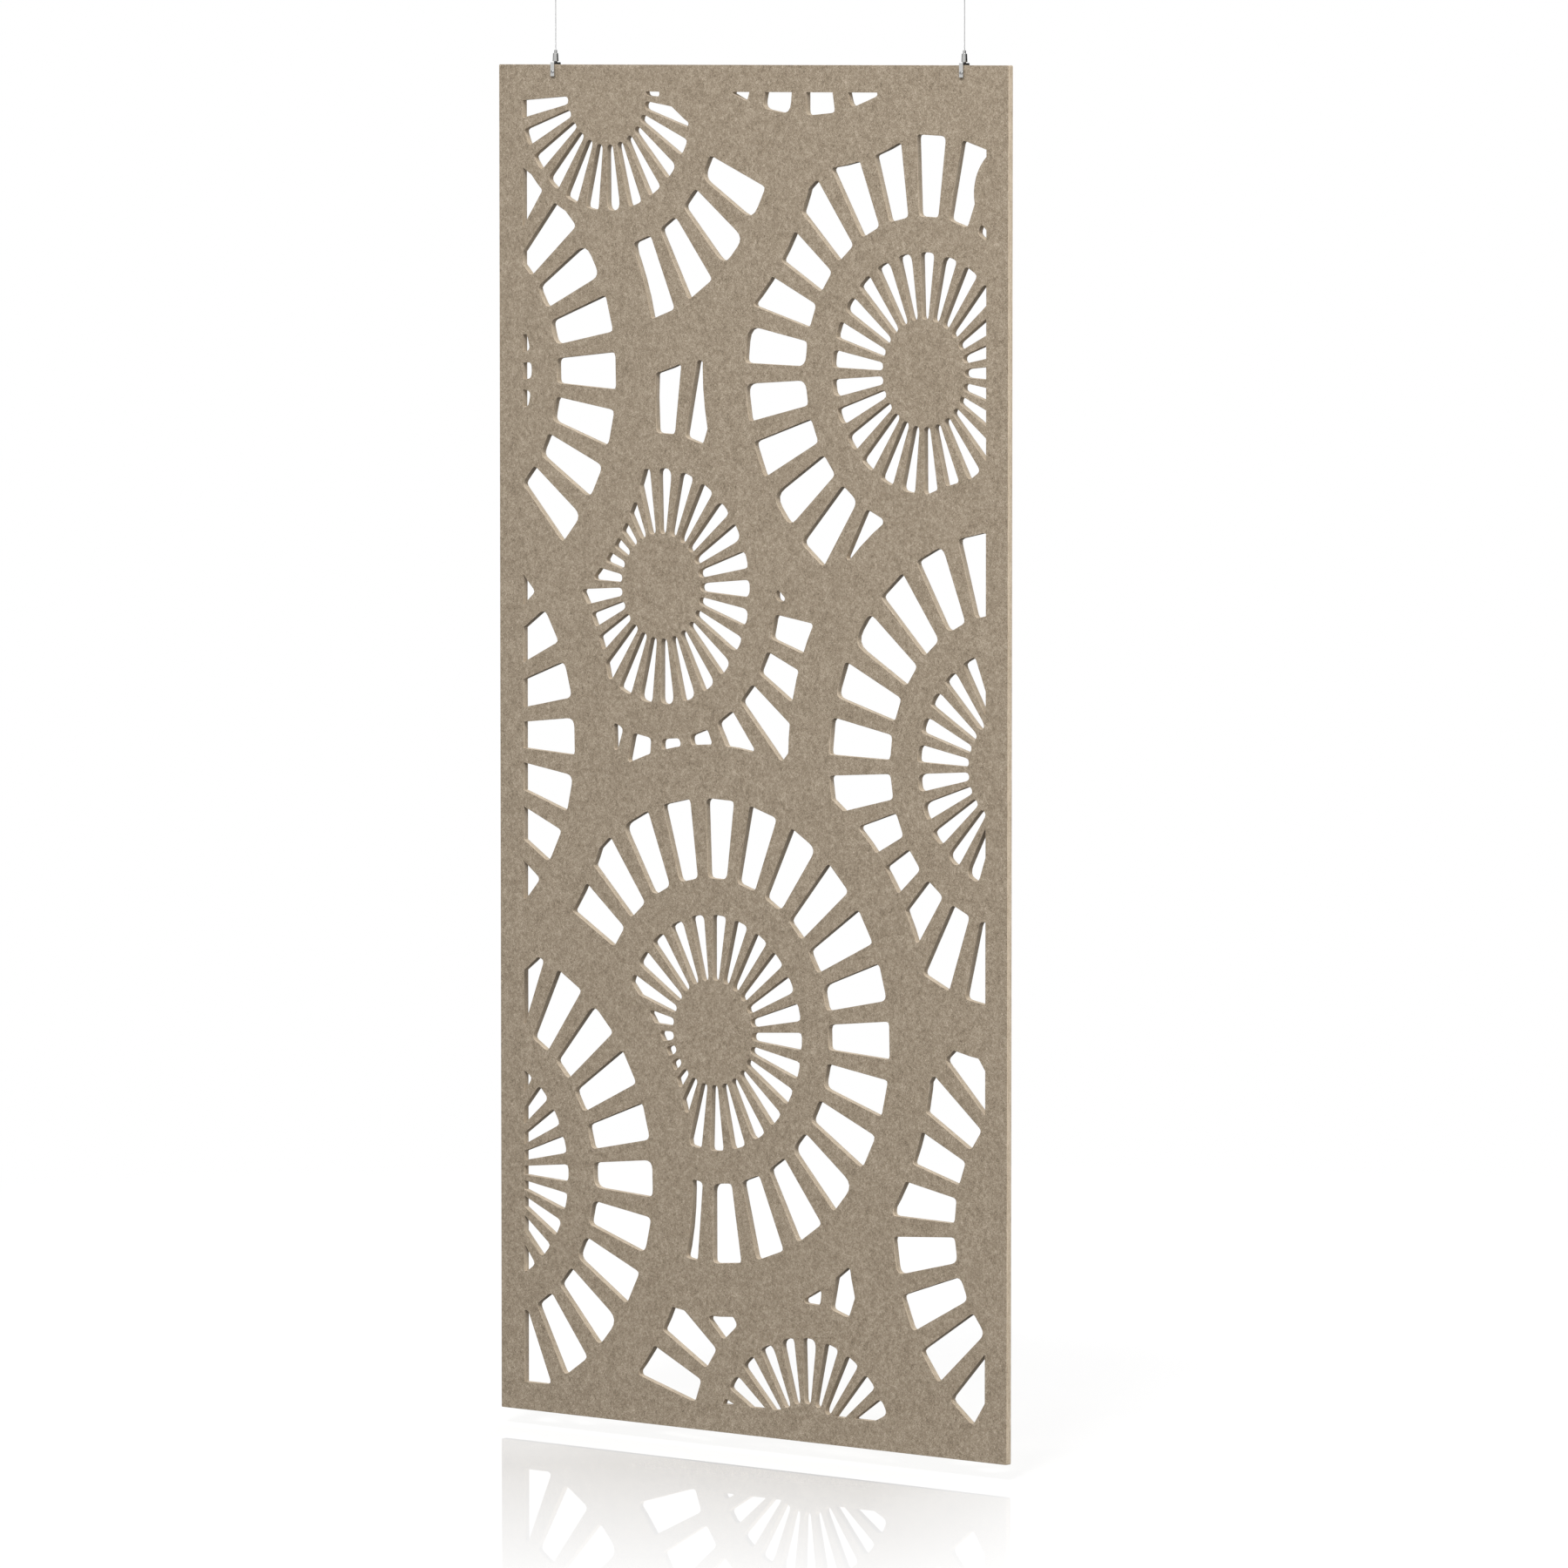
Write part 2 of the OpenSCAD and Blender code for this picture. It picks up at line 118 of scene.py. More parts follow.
class WireSettings(bpy.types.PropertyGroup):
    """The wire ropes and the release springs."""

    rope_strands: bpy.props.IntProperty(
        name="Strands", description="Strands laid round the rope's core", default=6, min=4, max=9)
    rope_lay: bpy.props.FloatProperty(
        name="Lay", description="Length of rope in which a strand goes round once",
        subtype="DISTANCE", default=9 * MM, min=4 * MM, max=20 * MM)
    spring_turns: bpy.props.IntProperty(
        name="Spring turns", description="Turns of a release spring", default=3, min=2, max=6)
    spring_wire: bpy.props.FloatProperty(
        name="Spring wire", description="Wire diameter of a release spring",
        subtype="DISTANCE", default=0.4 * MM, min=0.2 * MM, max=0.6 * MM)


class StageSettings(bpy.types.PropertyGroup):
    """The studio round the divider."""

    camera_place: bpy.props.FloatVectorProperty(
        name="Camera", description="Where the camera stands",
        subtype="TRANSLATION", unit="LENGTH", default=(12.34405, -14.03218, -0.09426))
    camera_pitch: bpy.props.FloatProperty(
        name="Pitch", description="How far the camera looks down",
        subtype="ANGLE", default=math.radians(4.0467))
    camera_turn: bpy.props.FloatProperty(
        name="Turn", description="How far round the camera stands from the board's front",
        subtype="ANGLE", default=math.radians(41.1897))
    lens: bpy.props.FloatProperty(
        name="Lens", description="Focal length on a sensor that is 36 mm wide",
        unit="CAMERA", default=242.169, min=1)
    floor_gap: bpy.props.FloatProperty(
        name="Floor gap", description="Height of the board's foot above the floor",
        subtype="DISTANCE", default=29 * MM, min=0)
    floor_radius: bpy.props.FloatProperty(
        name="Floor radius", description="Radius of the studio floor",
        subtype="DISTANCE", default=30, min=1)
    floor_gloss: bpy.props.FloatProperty(
        name="Floor gloss", description="Share of the light that the polished floor mirrors",
        subtype="FACTOR", default=0.42, min=0, max=1)
    mirror_reaches: bpy.props.FloatVectorProperty(
        name="Mirror reaches",
        description="How far the mirror image reaches left, right and away from the board",
        subtype="TRANSLATION", unit="LENGTH", default=(2.6, 0.56, 1.9), min=0.1)
    shadow_depth: bpy.props.FloatProperty(
        name="Shadow depth", description="How much of the board's shadow the pale floor shows",
        subtype="FACTOR", default=0.20, min=0, max=1)
    sky_light: bpy.props.FloatProperty(
        name="Sky", description="Strength of the light from all round", default=0.50, min=0)
    sky_lean: bpy.props.FloatProperty(
        name="Sky lean", description="How much brighter the sky is on the right than in front",
        subtype="FACTOR", default=0.6, min=0, max=0.9)
    key_power: bpy.props.FloatProperty(
        name="Key lamp", description="Power of the lamp high up in front",
        unit="POWER", default=2460, min=0)
    fill_power: bpy.props.FloatProperty(
        name="Fill lamp", description="Power of the lamp in front on the right",
        unit="POWER", default=280, min=0)
    side_power: bpy.props.FloatProperty(
        name="Side lamp", description="Power of the small lamp beside the board's right edge",
        unit="POWER", default=110, min=0)
    back_power: bpy.props.FloatProperty(
        name="Back lamp", description="Power of the lamp up behind on the left",
        unit="POWER", default=450, min=0)


# ---- Shader node groups -----------------------------------------------------


def new_group(name, inputs, outputs):
    """An empty shader group; its inputs are (name, type, default) and its outputs (name, type)."""
    group = bpy.data.node_groups.new(name, "ShaderNodeTree")
    for label, kind, default in inputs:
        socket = group.interface.new_socket(label, in_out="INPUT", socket_type=kind)
        socket.default_value = default
    for label, kind in outputs:
        group.interface.new_socket(label, in_out="OUTPUT", socket_type=kind)
    return group, group.nodes.new("NodeGroupInput"), group.nodes.new("NodeGroupOutput")


def shared_group(build, name):
    """The group of that name, built when a material first asks for it."""
    return bpy.data.node_groups.get(name) or build()


def add_node(tree, kind, inputs=None, **settings):
    """Adds a node, sets its properties, and feeds its inputs with values or with other sockets."""
    made = tree.nodes.new(kind)
    for name, value in settings.items():
        setattr(made, name, value)
    for name, value in (inputs or {}).items():
        if isinstance(value, bpy.types.NodeSocket):
            tree.links.new(value, made.inputs[name])
        else:
            made.inputs[name].default_value = value
    return made


def noise(tree, where, scale, detail=2.0, roughness=0.5, distortion=0.0):
    """A noise of that scale, from 0 to 1, with an average of 0.5."""
    return add_node(tree, "ShaderNodeTexNoise", {
        "Vector": where, "Scale": scale, "Detail": detail,
        "Roughness": roughness, "Distortion": distortion}).outputs["Fac"]


def stretched(tree, where, turn, lengths):
    """Coordinates turned first and then divided by lengths, so that noise there makes streaks."""
    placed = add_node(tree, "ShaderNodeMapping", {
        "Vector": where, "Rotation": turn, "Scale": lengths}, vector_type="TEXTURE")
    return placed.outputs["Vector"]


def blend(tree, factor, first, second):
    """Goes from the first colour to the second one as the factor goes from 0 to 1."""
    return add_node(tree, "ShaderNodeMix", {0: factor, 6: first, 7: second},
                    data_type="RGBA").outputs[2]


def calculate(tree, operation, first, second=0.0, third=0.0):
    """Works out one operation of the Math node."""
    return add_node(tree, "ShaderNodeMath", {0: first, 1: second, 2: third},
                    operation=operation).outputs[0]


def spread(tree, value, low, high, to_low=0.0, to_high=1.0):
    """Spreads the range from low to high over another one, and holds the value inside it."""
    return add_node(tree, "ShaderNodeMapRange", {
        "Value": value, "From Min": low, "From Max": high,
        "To Min": to_low, "To Max": to_high}).outputs[0]


def heathered_felt_group():
    """Matted felt: fine grain, short crossing fibres and faint clouds, as a colour and a height."""
    group, inp, out = new_group("Heathered Felt", [
        ("Average", "NodeSocketColor", (0.35, 0.29, 0.22, 1)),
        ("Pale Fibre", "NodeSocketColor", (0.5, 0.4, 0.3, 1)),
        ("Dark Fibre", "NodeSocketColor", (0.2, 0.17, 0.12, 1)),
        ("Contrast", "NodeSocketFloat", 1.0),
    ], [("Colour", "NodeSocketColor"), ("Height", "NodeSocketFloat")])
    grain_share, tuft_share, cloud_share, fibre_share = 0.30, 0.17, 0.07, 0.38
    # Fibres lie in the board's plane, so they are turned about Y alone
    fibre_turns = (0.35, 1.0, 1.7, 2.5)
    fibre_lengths = (1.0, 0.3, 0.075)
    # Where the heather strays this far from its average, it is all pale or all dark fibre
    widest_stray = 0.30
    where = add_node(group, "ShaderNodeTexCoord").outputs["Object"]
    parts = [
        (grain_share, noise(group, where, scale=560.0, detail=2.0, roughness=0.7)),
        (tuft_share, noise(group, where, scale=110.0, detail=3.0, roughness=0.6, distortion=0.5)),
        (cloud_share, noise(group, where, scale=38.0, detail=2.0, roughness=0.5)),
    ]
    for turn in fibre_turns:
        along = stretched(group, where, (0, turn, 0), fibre_lengths)
        fibres = noise(group, along, scale=180.0, detail=3.0, roughness=0.65, distortion=0.6)
        parts.append((fibre_share, fibres))
    heather = 0.0
    for share, part in parts:
        heather = calculate(group, "MULTIPLY_ADD", part, share, heather)
    average = sum(share for share, part in parts) / 2
    centred = calculate(group, "SUBTRACT", heather, average)
    strong = calculate(group, "MULTIPLY", centred, inp.outputs["Contrast"])
    pale = spread(group, strong, 0.0, widest_stray)
    dark = spread(group, strong, 0.0, -widest_stray)
    lit = blend(group, pale, inp.outputs["Average"], inp.outputs["Pale Fibre"])
    colour = blend(group, dark, lit, inp.outputs["Dark Fibre"])
    group.links.new(colour, out.inputs["Colour"])
    group.links.new(heather, out.inputs["Height"])
    return group


def worn_metal_group():
    """Fine turning marks and a faint dull film, as a tinted colour, a roughness and a height."""
    group, inp, out = new_group("Worn Metal", [
        ("Colour", "NodeSocketColor", (0.6, 0.6, 0.6, 1)),
        ("Roughness", "NodeSocketFloat", 0.2),
        ("Film", "NodeSocketFloat", 0.15),
    ], [("Colour", "NodeSocketColor"), ("Roughness", "NodeSocketFloat"),
        ("Height", "NodeSocketFloat")])
    mark_lengths = (3.0, 3.0, 0.11)
    film_colour = (0.16, 0.155, 0.15, 1)
    mark_roughness, film_roughness = 0.10, 0.35
    film_start, film_full = 0.45, 0.70
    where = add_node(group, "ShaderNodeTexCoord").outputs["Object"]
    turning = stretched(group, where, (0, 0, 0), mark_lengths)
    lines = noise(group, turning, scale=420.0, detail=3.0, roughness=0.7)
    film = noise(group, where, scale=160.0, detail=3.0, roughness=0.6, distortion=0.3)
    dull = spread(group, film, film_start, film_full, 0.0, inp.outputs["Film"])
    shade = blend(group, dull, inp.outputs["Colour"], film_colour)
    rough = calculate(group, "ADD", inp.outputs["Roughness"],
                      calculate(group, "MULTIPLY_ADD", lines, mark_roughness,
                                calculate(group, "MULTIPLY", dull, film_roughness)))
    group.links.new(shade, out.inputs["Colour"])
    group.links.new(rough, out.inputs["Roughness"])
    group.links.new(lines, out.inputs["Height"])
    return group


# ---- Materials --------------------------------------------------------------

# Each finish names the setting that holds its colour
FELT_FINISHES = {
    "felt_face": dict(average="face_colour", contrast=1.7, layered=False),
    "felt_cut": dict(average="cut_colour", contrast=1.2, layered=True),
}
METAL_FINISHES = {
    "nickel_satin": dict(colour="nickel_colour", roughness=0.26, film=0.12, marks=0.30),
    "nickel_bright": dict(colour="nickel_colour", roughness=0.13, film=0.10, marks=0.15),
    "nickel_gripper": dict(colour="gripper_colour", roughness=0.13, film=0.10, marks=0.15),
    "steel_plain": dict(colour="steel_colour", roughness=0.18, film=0.15, marks=0.15),
    "steel_wire": dict(colour="wire_colour", roughness=0.30, film=0.25, marks=0.15),
    "steel_dark": dict(colour="dark_colour", roughness=0.28, film=0.30, marks=0.15),
    "steel_screw": dict(colour="screw_colour", roughness=0.34, film=0.20, marks=0.15),
}


def blank_material(name):
    """A new material with its node tree and its Principled BSDF."""
    material = bpy.data.materials.new(name)
    material.use_nodes = True
    tree = material.node_tree
    return material, tree, tree.nodes["Principled BSDF"]


def opaque(colour):
    return (*colour, 1.0)


def felt_material(name, felt, average, contrast, layered):
    """Matted felt; where it is cut, the pressed layers show as lines along the thickness."""
    material, tree, shader = blank_material(name)
    fibres = add_node(tree, "ShaderNodeGroup", {
        "Average": opaque(getattr(felt, average)), "Pale Fibre": opaque(felt.pale_fibre),
        "Dark Fibre": opaque(felt.dark_fibre), "Contrast": contrast,
    }, node_tree=shared_group(heathered_felt_group, "Heathered Felt"))
    colour, height = fibres.outputs["Colour"], fibres.outputs["Height"]
    if layered:
        layer_lengths = (25.0, 1.0, 25.0)
        layer_start, layer_full = 0.42, 0.68
        layer_tint, layer_height = 0.35, 0.6
        where = add_node(tree, "ShaderNodeTexCoord").outputs["Object"]
        across = stretched(tree, where, (0, 0, 0), layer_lengths)
        layers = noise(tree, across, scale=700.0, detail=2.0, roughness=0.6)
        pale = spread(tree, layers, layer_start, layer_full, 0.0, layer_tint)
        colour = blend(tree, pale, colour, opaque(felt.pale_fibre))
        height = calculate(tree, "MULTIPLY_ADD", layers, layer_height, height)
    bump = add_node(tree, "ShaderNodeBump", {
        "Strength": 0.45, "Distance": 0.4 * MM, "Height": height})
    tree.links.new(colour, shader.inputs["Base Color"])
    tree.links.new(bump.outputs["Normal"], shader.inputs["Normal"])
    shader.inputs["Roughness"].default_value = 0.95
    shader.inputs["Specular IOR Level"].default_value = 0.15
    shader.inputs["Sheen Weight"].default_value = 0.12
    shader.inputs["Sheen Roughness"].default_value = 0.6
    return material


def metal_material(name, metal, colour, roughness, film, marks):
    """Plated or plain metal, with a dull film and fine marks as strong as film and marks say."""
    material, tree, shader = blank_material(name)
    worn = add_node(tree, "ShaderNodeGroup", {
        "Colour": opaque(getattr(metal, colour)), "Roughness": roughness, "Film": film,
    }, node_tree=shared_group(worn_metal_group, "Worn Metal"))
    bump = add_node(tree, "ShaderNodeBump", {
        "Strength": marks, "Distance": 0.02 * MM, "Height": worn.outputs["Height"]})
    tree.links.new(worn.outputs["Colour"], shader.inputs["Base Color"])
    tree.links.new(worn.outputs["Roughness"], shader.inputs["Roughness"])
    tree.links.new(bump.outputs["Normal"], shader.inputs["Normal"])
    shader.inputs["Metallic"].default_value = 1.0
    return material


def named_material(name):
    """The material of that name, made when it is first asked for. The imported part's own materials
    bear the record's names, so none of these names is one of them."""
    found = bpy.data.materials.get(name)
    if found:
        return found
    scene = bpy.context.scene
    if name in FELT_FINISHES:
        return felt_material(name, scene.divider_felt, **FELT_FINISHES[name])
    return metal_material(name, scene.divider_metal, **METAL_FINISHES[name])


def cover(piece, *names):
    """Gives a piece these materials in place of any that it has."""
    piece.data.materials.clear()
    for name in names:
        piece.data.materials.append(named_material(name))


# ---- Making meshes ----------------------------------------------------------

# Corners nearer than this are one corner, and faces that turn less than this are one flat face
SAME_CORNER = 0.002 * MM
SAME_FLAT = math.radians(0.5)
# An edge of a metal piece is sharp, and gets broken, from this angle
SHARP_METAL = math.radians(35)


def linked(name, data):
    """A new object of that data in the scene."""
    piece = bpy.data.objects.new(name, data)
    bpy.context.scene.collection.objects.link(piece)
    return piece


def finished_mesh(name, edited):
    """A mesh made of an edited one, which isn't used after that."""
    mesh = bpy.data.meshes.new(name)
    edited.to_mesh(mesh)
    edited.free()
    return mesh


def plain_mesh(piece, name):
    """The piece with its curve or modifiers worked out, as a plain mesh object in its stead."""
    seen = piece.evaluated_get(bpy.context.evaluated_depsgraph_get())
    mesh = bpy.data.meshes.new_from_object(seen)
    mesh.name = name
    bpy.data.objects.remove(piece)
    return linked(name, mesh)


def smooth_except(piece, sharpest):
    """Shades a piece smooth, apart from the edges that turn by more than the angle sharpest."""
    piece.data.polygons.foreach_set("use_smooth", [True] * len(piece.data.polygons))
    piece.data.set_sharp_from_angle(angle=sharpest)


def joined_triangles(node):
    """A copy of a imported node's mesh, to be edited, whose loose triangles are joined."""
    joined = bmesh.new()
    joined.from_mesh(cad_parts[node].data)
    bmesh.ops.remove_doubles(joined, verts=joined.verts, dist=SAME_CORNER)
    return joined


def broken_edges(node, material, ride_on):
    """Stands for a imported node: the same piece, with its sharp edges rounded over a little."""
    name = f"{node}_finished"
    joined = joined_triangles(node)
    bmesh.ops.dissolve_limit(joined, angle_limit=SAME_FLAT, verts=joined.verts,
                             edges=joined.edges)
    piece = linked(name, finished_mesh(name, joined))
    smooth_except(piece, SHARP_METAL)
    bevel = piece.modifiers.new("Broken edges", "BEVEL")
    bevel.width = bpy.context.scene.divider_metal.broken_edge
    bevel.segments = 2
    bevel.limit_method = "ANGLE"
    bevel.angle_limit = SHARP_METAL
    bevel.use_clamp_overlap = True
    bevel.harden_normals = True
    piece = plain_mesh(piece, name)
    cover(piece, material)
    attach(piece, ride_on)
    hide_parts(node)


# ---- The felt board ---------------------------------------------------------

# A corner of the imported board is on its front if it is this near, and a face whose normal leans
# less than this to the front or the back is a wall of an opening or of the rim
ON_FRONT = 0.01 * MM
WALL_LEAN = 0.5
# A face of the finished board that leans more than this is a part of its flat front or back
FLAT_LEAN = 0.98
SAME_BOARD_CORNER = 0.005 * MM
SHARP_FELT = math.radians(50)


def front_edges(board):
    """The corners on the board's front that each corner there shares a wall's edge with."""
    neighbours = {}
    for edge in board.edges:
        on_front = all(abs(corner.co.y - BOARD_LOW.y) < ON_FRONT for corner in edge.verts)
        if on_front and any(abs(face.normal.y) < WALL_LEAN for face in edge.link_faces):
            first, second = (corner.index for corner in edge.verts)
            neighbours.setdefault(first, []).append(second)
            neighbours.setdefault(second, []).append(first)
    return neighbours


def board_outlines():
    """The closed outlines of the board's front, its rim and its openings, as lists of (x, z)."""
    board = joined_triangles("felt_panel")
    neighbours = front_edges(board)
    board.verts.ensure_lookup_table()
    outlines, left = [], set(neighbours)
    while left:
        loop, here, before = [], min(left), None
        while here is not None and here in left:
            left.discard(here)
            loop.append((board.verts[here].co.x, board.verts[here].co.z))
            ahead = [corner for corner in neighbours[here] if corner != before and corner in left]
            before, here = here, (ahead[0] if ahead else None)
        outlines.append(loop)
    board.free()
    return outlines


def softened_outline(soft):
    """A flat curve of the board's outlines, with its thickness and worn edges of radius soft."""
    curve = bpy.data.curves.new("felt_board", "CURVE")
    curve.dimensions = "2D"
    curve.fill_mode = "BOTH"
    curve.extrude = (BOARD_HIGH.y - BOARD_LOW.y) / 2 - soft
    curve.bevel_depth = soft
    curve.bevel_resolution = 1
    curve.offset = -soft
    for loop in board_outlines():
        spline = curve.splines.new("POLY")
        spline.points.add(len(loop) - 1)
        for point, (x, z) in zip(spline.points, loop):
            point.co = (x, z, 0, 1)
        spline.use_cyclic_u = True
    return linked("felt_board_outline", curve)


class DIVIDER_OT_board(bpy.types.Operator):
    """Makes the pierced felt board, with its edges worn soft and its cuts showing the layers"""

    bl_idname = "divider.board"
    bl_label = "Felt Board"

    def execute(self, context):
        board = plain_mesh(softened_outline(context.scene.divider_felt.softened_edge), "felt_board")
        upright = Matrix.Rotation(math.pi / 2, 4, "X")
        board.data.transform(Matrix.Translation((0, BOARD_MIDDLE.y, 0)) @ upright)
        joined = bmesh.new()
        joined.from_mesh(board.data)
        bmesh.ops.remove_doubles(joined, verts=joined.verts, dist=SAME_BOARD_CORNER)
        bmesh.ops.recalc_face_normals(joined, faces=joined.faces)
        joined.to_mesh(board.data)
        joined.free()
        smooth_except(board, SHARP_FELT)
        cover(board, "felt_face", "felt_cut")
        for face in board.data.polygons:
            flat = abs(face.normal.y) > FLAT_LEAN
            face.use_smooth = not flat
            face.material_index = 0 if flat else 1
        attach(board, "panel")
        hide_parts("felt_panel")
        return {"FINISHED"}


# ---- Wire ropes and release springs -----------------------------------------


def round_section(tree, sides, radius):
    """The outline of a round wire."""
    return add_node(tree, "GeometryNodeCurvePrimitiveCircle", {
        "Resolution": sides, "Radius": radius}).outputs["Curve"]


def drawn_wire(tree, path, section):
    """A closed wire of that section along a path."""
    return add_node(tree, "GeometryNodeCurveToMesh", {
        "Curve": path, "Profile Curve": section, "Fill Caps": True}).outputs["Mesh"]


def helix_tree():
    """Geometry nodes that lay any number of round strands along a helix about Z, round a core."""
    tree = bpy.data.node_groups.new("Laid Strands", "GeometryNodeTree")
    interface = tree.interface
    interface.new_socket("Geometry", in_out="INPUT", socket_type="NodeSocketGeometry")
    for label, kind, default in (
            ("Length", "NodeSocketFloat", 100 * MM), ("Turns", "NodeSocketFloat", 3.0),
            ("Helix Radius", "NodeSocketFloat", 0.5 * MM),
            ("Strand Radius", "NodeSocketFloat", 0.25 * MM),
            ("Core Radius", "NodeSocketFloat", 0.25 * MM), ("Strands", "NodeSocketInt", 6),
            ("Steps per Turn", "NodeSocketInt", 16), ("Sides", "NodeSocketInt", 6)):
        interface.new_socket(label, in_out="INPUT", socket_type=kind).default_value = default
    interface.new_socket("Material", in_out="INPUT", socket_type="NodeSocketMaterial")
    interface.new_socket("Geometry", in_out="OUTPUT", socket_type="NodeSocketGeometry")
    inp = tree.nodes.new("NodeGroupInput").outputs
    spiral = add_node(tree, "GeometryNodeCurveSpiral", {
        "Resolution": inp["Steps per Turn"], "Rotations": inp["Turns"],
        "Start Radius": inp["Helix Radius"], "End Radius": inp["Helix Radius"],
        "Height": inp["Length"]})
    strand = drawn_wire(tree, spiral.outputs["Curve"],
                        round_section(tree, inp["Sides"], inp["Strand Radius"]))
    places = add_node(tree, "GeometryNodeMeshLine", {
        "Count": inp["Strands"], "Offset": (0, 0, 0)})
    index = tree.nodes.new("GeometryNodeInputIndex").outputs[0]
    turn = calculate(tree, "DIVIDE", calculate(tree, "MULTIPLY", index, 2 * math.pi),
                     inp["Strands"])
    spin = add_node(tree, "ShaderNodeCombineXYZ", {"Z": turn}).outputs[0]
    copies = add_node(tree, "GeometryNodeInstanceOnPoints", {
        "Points": places.outputs["Mesh"], "Instance": strand, "Rotation": spin})
    top = add_node(tree, "ShaderNodeCombineXYZ", {"Z": inp["Length"]}).outputs[0]
    line = add_node(tree, "GeometryNodeCurvePrimitiveLine", {"End": top})
    core = drawn_wire(tree, line.outputs["Curve"],
                      round_section(tree, inp["Sides"], inp["Core Radius"]))
    has_core = add_node(tree, "FunctionNodeCompare", {0: inp["Core Radius"], 1: 0.0},
                        operation="GREATER_THAN").outputs[0]
    kept_core = add_node(tree, "GeometryNodeSwitch", {"Switch": has_core, "True": core},
                         input_type="GEOMETRY")
    join = tree.nodes.new("GeometryNodeJoinGeometry")
    tree.links.new(copies.outputs["Instances"], join.inputs[0])
    tree.links.new(kept_core.outputs[0], join.inputs[0])
    whole = add_node(tree, "GeometryNodeRealizeInstances", {"Geometry": join.outputs[0]})
    smooth = add_node(tree, "GeometryNodeSetShadeSmooth", {"Geometry": whole.outputs[0]})
    dressed = add_node(tree, "GeometryNodeSetMaterial", {
        "Geometry": smooth.outputs[0], "Material": inp["Material"]})
    out = tree.nodes.new("NodeGroupOutput")
    tree.links.new(dressed.outputs[0], out.inputs[0])
    return tree


def laid_strands(name, foot, material, **sizes):
    """A plain mesh of strands from the helix tree, standing on the point foot."""
    tree = bpy.data.node_groups.get("Laid Strands") or helix_tree()
    holder = linked(name, bpy.data.meshes.new(name))
    modifier = holder.modifiers.new("Laid strands", "NODES")
    modifier.node_group = tree
    keys = {item.name: item.identifier for item in tree.interface.items_tree
            if item.in_out == "INPUT"}
    for label, value in sizes.items():
        modifier[keys[label.replace("_", " ")]] = value
    modifier[keys["Material"]] = named_material(material)
    piece = plain_mesh(holder, name)
    piece.data.transform(Matrix.Translation(foot))
    return piece


def foot_and_sizes(node):
    """The middle of a node's foot, and its height and its radius."""
    low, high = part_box(node)
    middle = (low + high) / 2
    return Vector((middle.x, middle.y, low.z)), high.z - low.z, (high.x - low.x) / 2


class DIVIDER_OT_ropes(bpy.types.Operator):
    """Lays the strands of the two wire ropes that hold the board up"""

    bl_idname = "divider.ropes"
    bl_label = "Wire Ropes"

    def execute(self, context):
        wires = context.scene.divider_wires
        for side in SIDES:
            node = f"wire_rope_{side}"
            foot, length, radius = foot_and_sizes(node)
            # A strand fills the gap between its neighbours on the helix
            share = math.sin(math.pi / wires.rope_strands)
            strand = radius * share / (1 + share)
            rope = laid_strands(
                f"{node}_laid", foot, "steel_wire", Length=length, Turns=length / wires.rope_lay,
                Helix_Radius=radius - strand, Strand_Radius=strand,
                Core_Radius=radius - 2 * strand, Strands=wires.rope_strands,
                Steps_per_Turn=16, Sides=8)
            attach(rope, f"wire_{side}")
            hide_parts(node)
        return {"FINISHED"}


class DIVIDER_OT_springs(bpy.types.Operator):
    """Winds the springs that push the release sleeves up"""

    bl_idname = "divider.springs"
    bl_label = "Release Springs"

    def execute(self, context):
        wires = context.scene.divider_wires
        for side in SIDES:
            node = f"release_spring_{side}"
            foot, height, radius = foot_and_sizes(node)
            wire = wires.spring_wire / 2
            spring = laid_strands(
                f"{node}_wound", foot + Vector((0, 0, wire)), "steel_dark",
                Length=height - 2 * wire, Turns=float(wires.spring_turns),
                Helix_Radius=radius - wire, Strand_Radius=wire, Core_Radius=0.0, Strands=1,
                Steps_per_Turn=32, Sides=10)
            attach(spring, "panel")
            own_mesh(spring)
            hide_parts(node)
        return {"FINISHED"}


# ---- Metal fittings ---------------------------------------------------------


class DIVIDER_OT_ceiling_fittings(bpy.types.Operator):
    """Finishes the ceiling bases, their caps and the balls that hold the wires"""

    bl_idname = "divider.ceiling_fittings"
    bl_label = "Ceiling Fittings"

    def execute(self, context):
        for side in SIDES:
            for part in ("ceiling_base", "ceiling_cap"):
                broken_edges(f"{part}_{side}", "nickel_satin", "ceiling")
            cover(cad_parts[f"wire_stop_ball_{side}"], "steel_plain")
        return {"FINISHED"}


class DIVIDER_OT_grippers(bpy.types.Operator):
    """Finishes the cable grippers: housings, release sleeves, balls and studs"""

    bl_idname = "divider.grippers"
    bl_label = "Cable Grippers"

    def execute(self, context):
        for side in SIDES:
            broken_edges(f"gripper_housing_{side}", "nickel_gripper", "panel")
            broken_edges(f"release_sleeve_{side}", "nickel_gripper", f"sleeve_{side}")
            broken_edges(f"gripper_stud_{side}", "steel_dark", "panel")
            cover(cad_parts[f"grip_balls_{side}"], "steel_plain")
        return {"FINISHED"}


class DIVIDER_OT_clamps(bpy.types.Operator):
    """Finishes the panel clamps with their screws and pressure plates"""

    bl_idname = "divider.clamps"
    bl_label = "Panel Clamps"

    def execute(self, context):
        for side in SIDES:
            broken_edges(f"clamp_bracket_{side}", "nickel_bright", "panel")
            broken_edges(f"clamp_screw_{side}", "steel_screw", "panel")
            broken_edges(f"pressure_plate_{side}", "steel_plain", "panel")
        return {"FINISHED"}


# ---- Studio -----------------------------------------------------------------

